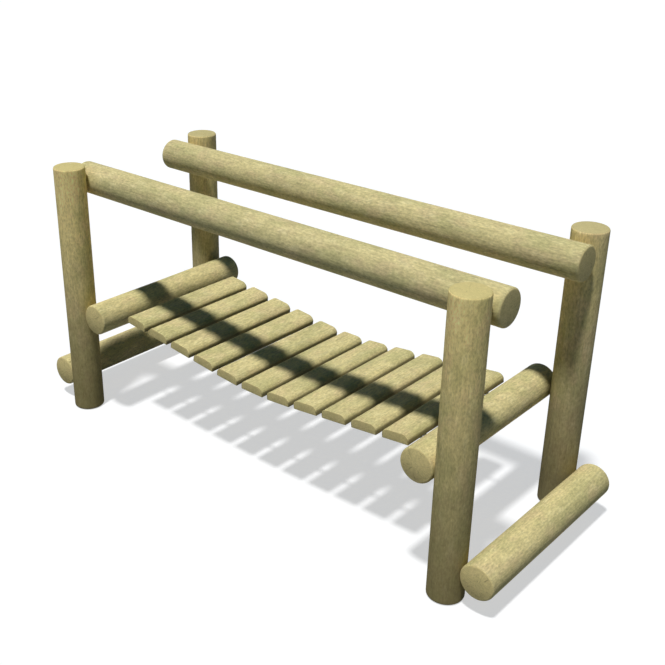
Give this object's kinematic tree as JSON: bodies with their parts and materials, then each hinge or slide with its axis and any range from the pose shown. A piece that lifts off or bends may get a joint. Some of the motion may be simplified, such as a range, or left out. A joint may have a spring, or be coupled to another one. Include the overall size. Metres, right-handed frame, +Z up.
{
  "type": "timber playground suspension bridge",
  "caption": "Low playground suspension bridge of round logs: posts, handrails, cross logs and steps, with a sagging deck of round-shouldered planks carried on two steel chains.",
  "frame": {"origin": "on the ground, midway between the four posts", "axes": "X along the walkway from the picture's left to its right, Y across it from the near side to the far side, Z up"},
  "size_m": [2.2076, 0.8378, 1.06],
  "materials": {
    "post_timber": "machine-rounded pressure-treated pine",
    "rail_timber": "machine-rounded pressure-treated pine",
    "cross_log_timber": "machine-rounded pressure-treated pine",
    "deck_timber": "planed pressure-treated pine",
    "galvanised_steel": "hot-dip galvanised"
  },
  "bodies": {
    "root": {"post_near_left": "post_timber", "post_near_right": "post_timber", "post_far_left": "post_timber", "post_far_right": "post_timber", "handrail_near": "rail_timber", "handrail_far": "rail_timber", "bearer_left": "cross_log_timber", "bearer_right": "cross_log_timber", "step_log_left": "cross_log_timber", "step_log_right": "cross_log_timber", "plank_01": "deck_timber", "plank_02": "deck_timber", "plank_03": "deck_timber", "plank_04": "deck_timber", "plank_05": "deck_timber", "plank_06": "deck_timber", "plank_07": "deck_timber", "plank_08": "deck_timber", "plank_09": "deck_timber", "plank_10": "deck_timber", "plank_11": "deck_timber", "chain_near": "galvanised_steel", "chain_far": "galvanised_steel", "eye_screw_near_left": "galvanised_steel", "eye_screw_near_right": "galvanised_steel", "eye_screw_far_left": "galvanised_steel", "eye_screw_far_right": "galvanised_steel"}
  },
  "joints": []
}
